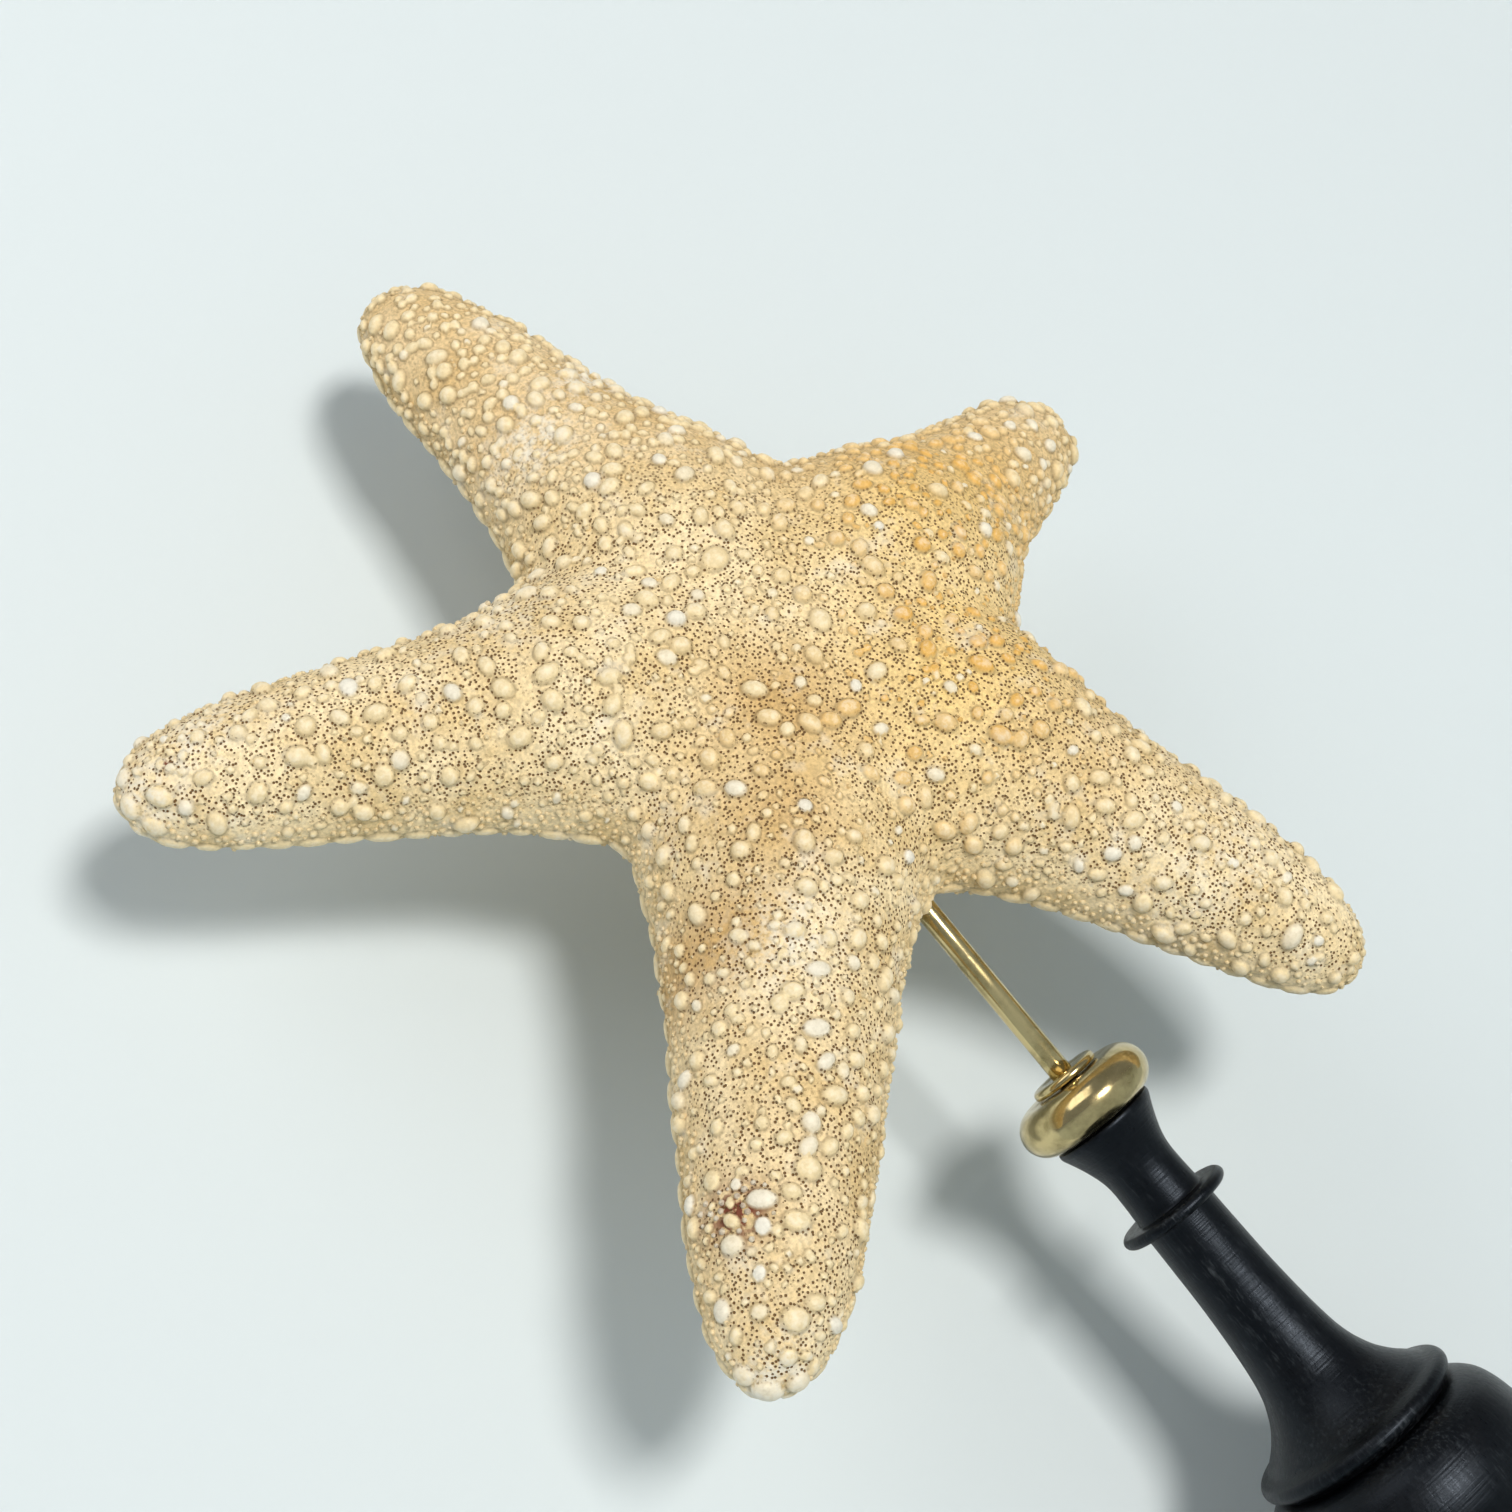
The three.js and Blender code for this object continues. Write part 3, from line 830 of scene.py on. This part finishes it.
def skin_material(colours):
    """Dried sea star: a bare limy skeleton, matte and chalky, riddled with pores.

    The eye gets pale domed knobs with a faint sheen over a duller, speckled ground.
    """
    material = new_material("Dried limy skin")
    tree = material.node_tree
    place = add(tree, "ShaderNodeTexCoord").outputs["Object"]
    knob, tone, golden, rust, groove, upper, under, flank, crowded, dull, whitened = (
        add(tree, "ShaderNodeAttribute", attribute_name=name).outputs["Fac"] for name in (
            "knob", "tone", "golden", "rust", "groove", "upper", "under", "flank", "crowded", "dull",
            "bleached"))

    # Unevenness of seven sizes, from patches of 14 mm to grains of 0.7 mm: scale, detail, roughness.
    patches, worn, crowd, flecks, rust_noise, mottle, grains = (
        add(tree, "ShaderNodeTexNoise",
            {"Vector": place, "Scale": scale, "Detail": detail, "Roughness": rough})
        for scale, detail, rough in (
            (70.0, 3.0, 0.6), (120.0, 3.0, 0.7), (160.0, 1.0, 0.5), (420.0, 3.0, 0.7), (600.0, 3.0, 0.5),
            (950.0, 3.0, 0.6), (1500.0, 2.0, 0.5)))
    # The ground between the knobs: paler and duller patches, stained golden over the disc.
    patch = add(tree, "ShaderNodeMapRange", {"Value": patches, "From Min": 0.38, "From Max": 0.62})
    ground = add(
        tree, "ShaderNodeMix", {"Factor": patch, "A": tuple(colours.shade), "B": tuple(colours.ground)},
        data_type="RGBA")
    gold_even = add(tree, "ShaderNodeMath", (patch, 0.45, 0.40), operation="MULTIPLY_ADD")
    gold_ground = add(tree, "ShaderNodeMath", (golden, gold_even), operation="MULTIPLY")
    stained = add(tree, "ShaderNodeMix", {"Factor": gold_ground, "A": ground, "B": tuple(colours.gold)},
                  data_type="RGBA")

    # Fine grains in it are lighter and darker, and some of it is darkened browner: partly real browning,
    # partly painted shade on the flanks and between the crowded knobs.
    speckle = add(tree, "ShaderNodeMapRange",
                  {"Value": grains, "From Min": 0.35, "From Max": 0.65, "To Min": 0.82, "To Max": 1.12})
    brown_and_shade_share = add(tree, "ShaderNodeMath", (dull, 0.75), operation="MULTIPLY")
    browned_and_shaded = add(tree, "ShaderNodeMix", {"Factor": brown_and_shade_share, "A": stained, "B": tuple(colours.dull)},
                  data_type="RGBA")
    speckled = add(tree, "ShaderNodeVectorMath", {0: browned_and_shaded, "Scale": speckle},
                   operation="SCALE")

    # Knobs: most are cream, some bone white, and those on the disc golden.
    whiteness = add(tree, "ShaderNodeMapRange", {"Value": tone, "From Min": 0.80, "From Max": 1.0})
    pale = add(
        tree, "ShaderNodeMix", {"Factor": whiteness, "A": tuple(colours.knob), "B": tuple(colours.bone)},
        data_type="RGBA")
    amber = add(tree, "ShaderNodeMapRange", {"Value": tone, "From Min": 0.80, "From Max": 0.55})
    deeper = add(tree, "ShaderNodeMapRange", {"Value": golden, "From Max": 0.7})
    amber_share = add(tree, "ShaderNodeMath", (amber, deeper), operation="MULTIPLY")
    knob_colour = add(tree, "ShaderNodeMix", {"Factor": amber_share, "A": pale, "B": tuple(colours.amber)},
                      data_type="RGBA")
    # Each knob is mottled in spots of about 1 mm, and its very top is paler: partly rubbed, partly a
    # painted highlight.
    uneven = add(tree, "ShaderNodeMapRange",
                 {"Value": mottle, "From Min": 0.32, "From Max": 0.68, "To Min": 0.86, "To Max": 1.08})
    mottled = add(tree, "ShaderNodeVectorMath", {0: knob_colour, "Scale": uneven},
                  operation="SCALE")
    tip = add(tree, "ShaderNodeMapRange", {"Value": knob, "From Min": 0.86, "From Max": 1.0})
    tip_mottle = add(
        tree, "ShaderNodeMapRange", {"Value": mottle, "From Min": 0.42, "From Max": 0.6, "To Max": 0.35})
    pale_tip_and_highlight = add(tree, "ShaderNodeMath", (tip, tip_mottle), operation="MULTIPLY")
    tipped_and_highlit = add(tree, "ShaderNodeMix", {"Factor": pale_tip_and_highlight, "A": mottled, "B": tuple(colours.bone)},
                  data_type="RGBA")
    # Where a knob meets the skin it is darkened: dust, and painted shade at the knob's foot, fading out
    # towards its crown.
    skirt = add(tree, "ShaderNodeMapRange", {"Value": knob, "From Min": 0.05, "From Max": 0.30})
    crown = add(tree, "ShaderNodeMapRange",
                {"Value": knob, "From Min": 0.30, "From Max": 0.85, "To Min": 1.0, "To Max": 0.0})
    ring = add(tree, "ShaderNodeMath", (skirt, crown), operation="MULTIPLY")
    foot_dust_and_shade = add(tree, "ShaderNodeMapRange", {"Value": ring, "To Min": 1.0, "To Max": 0.66})
    top = add(tree, "ShaderNodeMapRange", {"Value": knob, "From Min": 0.35, "From Max": 0.8})
    domed = add(tree, "ShaderNodeMix", {"Factor": top, "A": speckled, "B": tipped_and_highlit}, data_type="RGBA")
    dusted_and_shaded = add(tree, "ShaderNodeVectorMath", {0: domed, "Scale": foot_dust_and_shade}, operation="SCALE")
    # Worn and bleached skin is white in flecks, and the red stain shows only between the knobs.
    bleach = add(
        tree, "ShaderNodeMapRange", {"Value": worn, "From Min": 0.56, "From Max": 0.74, "To Max": 0.45})
    fleck = add(
        tree, "ShaderNodeMapRange", {"Value": flecks, "From Min": 0.42, "From Max": 0.62, "To Max": 0.85})
    fleck_share = add(tree, "ShaderNodeMath", (fleck, whitened), operation="MULTIPLY")
    bleach_share = add(tree, "ShaderNodeMath", (bleach, fleck_share), operation="MAXIMUM")
    bleached = add(tree, "ShaderNodeMix", {"Factor": bleach_share, "A": dusted_and_shaded, "B": tuple(colours.bone)},
                   data_type="RGBA")
    rust_cut = add(tree, "ShaderNodeMapRange", {"Value": rust_noise, "From Min": 0.40, "From Max": 0.52})
    bare = add(tree, "ShaderNodeMath", (1.0, top), operation="SUBTRACT")
    rust_share = add(tree, "ShaderNodeMath", (rust, rust_cut), operation="MULTIPLY")
    rust_bare = add(tree, "ShaderNodeMath", (rust_share, bare), operation="MULTIPLY", use_clamp=True)
    rusty = add(tree, "ShaderNodeMix", {"Factor": rust_bare, "A": bleached, "B": tuple(colours.rust)},
                data_type="RGBA")

    # Pores up to 0.5 mm wide, about 1 mm apart, in the bare skin between the knobs.
    cells = add(tree, "ShaderNodeTexVoronoi", {"Vector": place, "Scale": 1250.0, "Randomness": 0.75})
    hole = add(tree, "ShaderNodeMapRange",
               {"Value": cells.outputs["Distance"], "From Min": 0.38, "From Max": 0.22},
               interpolation_type="SMOOTHSTEP")
    gather = add(tree, "ShaderNodeMapRange", {"Value": crowd, "From Min": 0.28, "From Max": 0.42})
    pore_bare = add(tree, "ShaderNodeMath", (hole, bare), operation="MULTIPLY")
    pore_here = add(tree, "ShaderNodeMath", (pore_bare, gather), operation="MULTIPLY")
    closed = add(tree, "ShaderNodeMath", (crowded, 0.8, flank), operation="MULTIPLY_ADD")
    open_top = add(tree, "ShaderNodeMath", (upper, closed), operation="SUBTRACT", use_clamp=True)
    pore_share = add(tree, "ShaderNodeMath", (pore_here, open_top), operation="MULTIPLY")
    pitted = add(tree, "ShaderNodeMix", {"Factor": pore_share, "A": rusty, "B": tuple(colours.pore)},
                 data_type="RGBA")
    shadow = add(tree, "ShaderNodeMath", (groove, 0.5), operation="MULTIPLY")
    colour = add(tree, "ShaderNodeMix", {"Factor": shadow, "A": pitted, "B": tuple(colours.shade)},
                 data_type="RGBA")

    # The underside is paved with rounded tiles of about 2 mm, with darker joints between them.
    granules = add(tree, "ShaderNodeTexVoronoi", {"Vector": place, "Scale": 520.0}).outputs["Distance"]
    joint = add(tree, "ShaderNodeMapRange", {"Value": granules, "From Min": 0.44, "From Max": 0.66})
    joint_share = add(tree, "ShaderNodeMath", (joint, under), operation="MULTIPLY")
    joint_dark = add(tree, "ShaderNodeMath", (joint_share, 0.3), operation="MULTIPLY")
    paved = add(tree, "ShaderNodeMix", {"Factor": joint_dark, "A": colour, "B": tuple(colours.pore)},
                data_type="RGBA")

    # Relief: the pores sink, fine grains and 2 mm granules rise.
    granule = add(tree, "ShaderNodeMath", (granules, -0.22), operation="MULTIPLY")
    granule_bare = add(tree, "ShaderNodeMath", (granule, bare), operation="MULTIPLY")
    grain = add(tree, "ShaderNodeMath", (grains, 0.09), operation="MULTIPLY")
    pit = add(tree, "ShaderNodeMath", (pore_share, -0.35), operation="MULTIPLY")
    relief = add(tree, "ShaderNodeMath", (granule_bare, grain), operation="ADD")
    relief_pit = add(tree, "ShaderNodeMath", (relief, pit), operation="ADD")
    tiled = add(tree, "ShaderNodeMath", (joint_share, -0.45, relief_pit), operation="MULTIPLY_ADD")
    bump = add(tree, "ShaderNodeBump", {"Strength": 1.0, "Distance": 0.001, "Height": tiled})

    roughness = add(tree, "ShaderNodeMapRange", {"Value": top, "To Min": 0.9, "To Max": 0.55})
    shader = add(tree, "ShaderNodeBsdfPrincipled",
                 {"Base Color": paved, "Roughness": roughness, "Normal": bump, "IOR": 1.5,
                  "Specular IOR Level": 0.35})
    add(tree, "ShaderNodeOutputMaterial", {"Surface": shader})
    return material


def paper_material(name, colour, one_sided):
    """Matte background paper, with no grain to draw the eye.

    The wall's is one-sided, so that the wall never stands between the object and a view from behind.
    """
    material = new_material(name)
    tree = material.node_tree
    matte = add(tree, "ShaderNodeBsdfPrincipled", {"Base Color": colour, "Roughness": 0.9})
    if one_sided:
        back = add(tree, "ShaderNodeNewGeometry").outputs["Backfacing"]
        clear = add(tree, "ShaderNodeBsdfTransparent")
        matte = add(tree, "ShaderNodeMixShader", (back, matte, clear))
    add(tree, "ShaderNodeOutputMaterial", {"Surface": matte})
    return material


def brass_material(colours):
    """Polished brass, turned and buffed, gone a little dull: warm mirror with soft cloudy patches."""
    material = new_material("Polished brass")
    tree = material.node_tree
    place = add(tree, "ShaderNodeTexCoord").outputs["Object"]
    clouds = add(
        tree, "ShaderNodeTexNoise", {"Vector": place, "Scale": 220.0, "Detail": 5.0, "Roughness": 0.65})
    dull = add(tree, "ShaderNodeMapRange", {"Value": clouds, "From Min": 0.42, "From Max": 0.72})
    colour = add(
        tree, "ShaderNodeMix", {"Factor": dull, "A": tuple(colours.brass), "B": tuple(colours.tarnish)},
        data_type="RGBA")
    roughness = add(tree, "ShaderNodeMapRange", {"Value": dull, "To Min": 0.12, "To Max": 0.34})
    shader = add(tree, "ShaderNodeBsdfPrincipled",
                 {"Base Color": colour, "Metallic": 1.0, "Roughness": roughness})
    add(tree, "ShaderNodeOutputMaterial", {"Surface": shader})
    return material


def wood_material(colours):
    """Ebonised wood: turned, stained black and waxed. Satin black, with fine lines from the lathe."""
    material = new_material("Ebonised wood")
    tree = material.node_tree
    place = add(tree, "ShaderNodeTexCoord").outputs["Object"]
    # Turning lines some 0.4 mm apart run round the axis.
    squash = add(tree, "ShaderNodeMapping", {"Vector": place, "Scale": (0.02, 0.02, 1.0)})
    lines = add(tree, "ShaderNodeTexNoise", {"Vector": squash, "Scale": 2400.0, "Detail": 3.0})
    wear_noise = add(
        tree, "ShaderNodeTexNoise", {"Vector": place, "Scale": 90.0, "Detail": 6.0, "Roughness": 0.7})
    wear = add(tree, "ShaderNodeMapRange", {"Value": wear_noise, "From Min": 0.5, "From Max": 0.8})
    colour = add(
        tree, "ShaderNodeMix", {"Factor": wear, "A": tuple(colours.black), "B": tuple(colours.wear)},
        data_type="RGBA")
    # Short fine scratches in the wax, and a thin bloom of dust that lies in them.
    scratch_place = add(tree, "ShaderNodeMapping", {"Vector": place, "Scale": (1.0, 1.0, 0.16)})
    scratches = add(tree, "ShaderNodeTexNoise",
                    {"Vector": scratch_place, "Scale": 1400.0, "Detail": 5.0, "Roughness": 0.75})
    cut = add(tree, "ShaderNodeMapRange", {"Value": scratches, "From Min": 0.52, "From Max": 0.74})
    bloom_noise = add(tree, "ShaderNodeTexNoise", {"Vector": place, "Scale": 60.0, "Detail": 3.0})
    bloom = add(tree, "ShaderNodeMapRange", {"Value": bloom_noise, "From Min": 0.42, "From Max": 0.7})
    dust = add(tree, "ShaderNodeMath", (cut, bloom), operation="MULTIPLY")
    dust_share = add(tree, "ShaderNodeMath", (dust, 0.16), operation="MULTIPLY")
    dusty = add(tree, "ShaderNodeMix", {"Factor": dust_share, "A": colour, "B": tuple(colours.dust)},
                data_type="RGBA")
    roughness = add(tree, "ShaderNodeMapRange", {"Value": scratches, "From Min": 0.3, "From Max": 0.7,
                                                 "To Min": 0.24, "To Max": 0.46})
    relief = add(tree, "ShaderNodeMath", (scratches, lines), operation="ADD")
    bump = add(tree, "ShaderNodeBump", {"Strength": 0.35, "Distance": 0.0002, "Height": relief})
    shader = add(tree, "ShaderNodeBsdfPrincipled",
                 {"Base Color": dusty, "Roughness": roughness, "Normal": bump, "IOR": 1.5,
                  "Specular IOR Level": 0.25, "Specular Tint": linear("#DCEBFF")})
    add(tree, "ShaderNodeOutputMaterial", {"Surface": shader})
    return material


# ---- Turned pieces ------------------------------------------------------


def outline_of(node):
    """The half-section of a turned node, as a list of (radius, height), and whether it closes on itself."""
    mesh = merged_copy(node)
    flat = {v.index: (v.co.x, v.co.z) for v in mesh.vertices if abs(v.co.y) < 1e-6 and v.co.x > -1e-6}
    near = {i: set() for i in flat}
    for edge in mesh.edges:
        a, b = edge.vertices
        if a in flat and b in flat:
            near[a].add(b)
            near[b].add(a)
    bpy.data.meshes.remove(mesh)
    ends = sorted((i for i in near if len(near[i]) == 1), key=lambda i: flat[i][1])
    start = ends[0] if ends else min(flat, key=lambda i: (flat[i][1], flat[i][0]))
    order, last = [start], None
    while True:
        onward = [i for i in near[order[-1]] if i != last and i != start]
        if not onward:
            break
        last = order[-1]
        order.append(onward[0])
    return [flat[i] for i in order], not ends


def refined(outline, closed, steps=4, corner=35, ease=0.18 * MM):
    """The outline with its curved runs filled in and its corners eased by a narrow bevel."""
    points = [np.array(p) for p in outline]
    count = len(points)
    fine = []
    for i in range(count if closed else count - 1):
        before, a, b, after = (points[(i + k) % count] for k in (-1, 0, 1, 2))
        ahead = (b - a) / max(np.linalg.norm(b - a), 1e-9)
        length = np.linalg.norm(b - a)

        def turn_at(left, middle, right):
            u = (middle - left) / max(np.linalg.norm(middle - left), 1e-9)
            v = (right - middle) / max(np.linalg.norm(right - middle), 1e-9)
            return math.degrees(math.acos(np.clip(u @ v, -1, 1)))

        first = not closed and i == 0
        final = not closed and i == count - 2
        sharp_a = first or turn_at(before, a, b) > corner
        sharp_b = final or turn_at(a, b, after) > corner
        room = min(ease, length * 0.3)
        start = a if first or not sharp_a else a + ahead * room
        stop = b if final or not sharp_b else b - ahead * room
        if sharp_a and sharp_b:
            fine += [start, stop]
            continue
        pull_a = (b - a) if sharp_a else (b - before) / 2
        pull_b = (b - a) if sharp_b else (after - a) / 2
        longest = 1.2 * length
        pull_a *= min(1, longest / max(np.linalg.norm(pull_a), 1e-9))
        pull_b *= min(1, longest / max(np.linalg.norm(pull_b), 1e-9))
        for step in range(steps + (1 if sharp_b else 0)):
            t = step / steps
            t2, t3 = t * t, t * t * t
            fine.append((2 * t3 - 3 * t2 + 1) * start + (t3 - 2 * t2 + t) * pull_a
                        + (3 * t2 - 2 * t3) * stop + (t3 - t2) * pull_b)
    if not closed:
        fine.append(points[-1])
    return fine


def turned(node, name, material, sides=144, snug=0.0):
    """A node's outline turned afresh, rounder and smoother. Its bore closes to the snug radius, if any."""
    outline, closed = outline_of(node)
    if snug:
        bore = min(radius for radius, _ in outline)
        outline = [(snug if radius < bore + 0.1 * MM else radius, height) for radius, height in outline]
    fine = refined(outline, closed)
    shape = bmesh.new()
    rings = []
    for radius, height in fine:
        if radius < 1e-6:
            rings.append([shape.verts.new((0, 0, height))])
            continue
        ring = []
        for i in range(sides):
            angle = math.tau * i / sides
            ring.append(shape.verts.new((radius * math.cos(angle), radius * math.sin(angle), height)))
        rings.append(ring)
    pairs = list(zip(rings, rings[1:]))
    if closed:
        pairs.append((rings[-1], rings[0]))
    for low, high in pairs:
        for i in range(sides):
            j = (i + 1) % sides
            corners = [low[i % len(low)], low[j % len(low)], high[j % len(high)], high[i % len(high)]]
            unique = list(dict.fromkeys(corners))
            if len(unique) > 2:
                shape.faces.new(unique)
    bmesh.ops.remove_doubles(shape, verts=shape.verts, dist=1e-6)
    bmesh.ops.recalc_face_normals(shape, faces=shape.faces)
    for face in shape.faces:
        face.smooth = True
    mesh = bpy.data.meshes.new(name)
    shape.to_mesh(mesh)
    shape.free()
    mesh.set_sharp_from_angle(angle=math.radians(50))
    mesh.materials.append(material)
    return new_object(name, mesh)


# ---- Operators ----------------------------------------------------------


class SEASTAR_OT_starfish(bpy.types.Operator):
    """Makes the dried sea star's skin, with its knobs, edge plates, pores and grooves."""

    bl_idname = "seastar.starfish"
    bl_label = "Starfish"

    def execute(self, context):
        sizes = context.scene.seastar_sizes
        material = skin_material(context.scene.seastar_skin)
        body = star_body(sizes)
        mark_body(body, sizes)
        margins = [margin_route(body, sizes, level) for level in MARGIN_LEVELS]
        plates = plate_points(body, sizes)
        star = grown(body, "starfish_skin", knob_tree(material, margins, plates), {
            "Large spacing": sizes.large_spacing, "Large radius": sizes.large_radius,
            "Small spacing": sizes.small_spacing, "Small radius": sizes.small_radius,
            "Margin pitch": sizes.margin_pitch, "Seed": sizes.seed})
        for helper in (*margins, plates):
            bpy.data.objects.remove(helper)
        star.data.materials.clear()
        star.data.materials.append(material)
        empty = new_object("beads", bpy.data.meshes.new("beads"))
        beads = grown(empty, "starfish_granules", granule_tree(material, star), {
            "Granule spacing": sizes.granule_spacing, "Granule radius": sizes.granule_radius})
        spines = grown(spine_points(star, sizes), "starfish_spines", spine_tree(material), {
            "Spine length": sizes.spine_length, "Spine radius": sizes.spine_radius})
        for piece in (star, beads, spines):
            handed_over(piece, "starfish")
        return {"FINISHED"}


class SEASTAR_OT_wood(bpy.types.Operator):
    """Turns the black column and foot."""

    bl_idname = "seastar.wood"
    bl_label = "Column and foot"

    def execute(self, context):
        material = wood_material(context.scene.seastar_stand)
        for node in ("column", "foot"):
            handed_over(turned(node, "turned_" + node, material), node)
        return {"FINISHED"}


class SEASTAR_OT_brass(bpy.types.Operator):
    """Turns the brass collar and washer and draws the rod."""

    bl_idname = "seastar.brass"
    bl_label = "Brass"

    def execute(self, context):
        material = brass_material(context.scene.seastar_stand)
        low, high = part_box("rod")
        around_rod = (high.x - low.x) / 2 + 0.03 * MM
        for node, snug in (("collar", around_rod), ("washer", around_rod), ("rod", 0.0)):
            handed_over(turned(node, "brass_" + node, material, sides=96, snug=snug), node)
        return {"FINISHED"}


class SEASTAR_OT_studio(bpy.types.Operator):
    """Sets up the floor, the wall, the light and the camera."""

    bl_idname = "seastar.studio"
    bl_label = "Studio"

    def execute(self, context):
        studio = context.scene.seastar_studio
        floor_and_wall(studio)
        lights()
        camera(studio)
        return {"FINISHED"}


def floor_and_wall(studio):
    """A pale floor, and a pale board that faces as the star does, leans back and clears the foot's rim."""
    low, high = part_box("foot")
    normal = star_matrix(bpy.context.scene.seastar_sizes).to_3x3() @ Vector((0, 0, 1))
    normal.z = BOARD_SLOPE
    normal.normalize()
    level = Vector((normal.x, normal.y, 0)).normalized()
    foot_clearance = (high.x - low.x) / 2 + 1 * MM
    base = -level * foot_clearance
    side = Vector((0, 0, 1)).cross(level)
    rise = normal.cross(side)
    left, right, up = base - side * BOARD_HALF, base + side * BOARD_HALF, rise * BOARD_HEIGHT
    half = FLOOR_HALF
    ground = [(-half, -half, 0), (half, -half, 0), (half, half, 0), (-half, half, 0)]
    board = [left, right, right + up, left + up]
    for name, corners, one_sided in (("floor", ground, False), ("wall", board, True)):
        mesh = bpy.data.meshes.new(name)
        mesh.from_pydata(corners, [], [(0, 1, 2, 3)])
        mesh.materials.append(paper_material(name.capitalize() + " paper", tuple(studio.paper), one_sided))
        new_object(name, mesh)


def lamp(name, place, target, size, power, colour):
    """A square soft light aimed at a point."""
    data = bpy.data.lights.new(name, "AREA")
    data.size = size
    data.energy = power
    data.color = colour[:3]
    thing = bpy.data.objects.new(name, data)
    thing.location = place
    thing.rotation_euler = (Vector(target) - Vector(place)).to_track_quat("-Z", "Y").to_euler()
    bpy.context.scene.collection.objects.link(thing)


def lights():
    """The soft lights, aimed at the star, and pale light from everywhere."""
    for name, (place, size, power, code) in LIGHTS.items():
        lamp(name, place, LIGHTS_TARGET, size, power, linear(code))
    world = bpy.data.worlds.new("Pale room")
    world.use_nodes = True
    tree = world.node_tree
    tree.nodes.clear()
    light = add(tree, "ShaderNodeBackground", {"Color": linear(ROOM_COLOUR), "Strength": ROOM_STRENGTH})
    add(tree, "ShaderNodeOutputWorld", {"Surface": light})
    bpy.context.scene.world = world


def camera(studio):
    """The camera, level with the star, rolled about its line of sight."""
    data = bpy.data.cameras.new("camera")
    data.lens = studio.lens
    data.sensor_width = 36
    data.clip_start = 0.01
    data.clip_end = 20
    thing = bpy.data.objects.new("camera", data)
    turn = Euler((math.pi / 2 + studio.tilt, 0, 0)).to_matrix() @ Matrix.Rotation(studio.roll, 3, "Z")
    thing.matrix_world = Matrix.Translation(studio.eye) @ turn.to_4x4()
    bpy.context.scene.collection.objects.link(thing)
    bpy.context.scene.camera = thing


class SEASTAR_PT_panel(bpy.types.Panel):
    """Lists the pieces."""

    bl_idname = "SEASTAR_PT_panel"
    bl_label = "Sea Star"
    bl_space_type = "VIEW_3D"
    bl_region_type = "UI"
    bl_category = "Sea Star"

    def draw(self, context):
        for step in STEPS:
            self.layout.operator(step.bl_idname)


STEPS = (SEASTAR_OT_studio, SEASTAR_OT_starfish, SEASTAR_OT_wood, SEASTAR_OT_brass)
GROUPS = (
    ("seastar_sizes", StarSizes),
    ("seastar_skin", StarColours),
    ("seastar_stand", StandColours),
    ("seastar_studio", StudioSettings),
)


def register():
    for _, group in GROUPS:
        bpy.utils.register_class(group)
    for step in (*STEPS, SEASTAR_PT_panel):
        bpy.utils.register_class(step)
    for name, group in GROUPS:
        setattr(bpy.types.Scene, name, bpy.props.PointerProperty(type=group))


def unregister():
    for name, _ in GROUPS:
        delattr(bpy.types.Scene, name)
    for step in reversed((*STEPS, SEASTAR_PT_panel)):
        bpy.utils.unregister_class(step)
    for _, group in reversed(GROUPS):
        bpy.utils.unregister_class(group)


def main():
    register()
    bpy.ops.seastar.studio()
    bpy.ops.seastar.starfish()
    bpy.ops.seastar.wood()
    bpy.ops.seastar.brass()
    bpy.context.scene.view_settings.view_transform = "Standard"


if __name__ == "__main__":
    main()
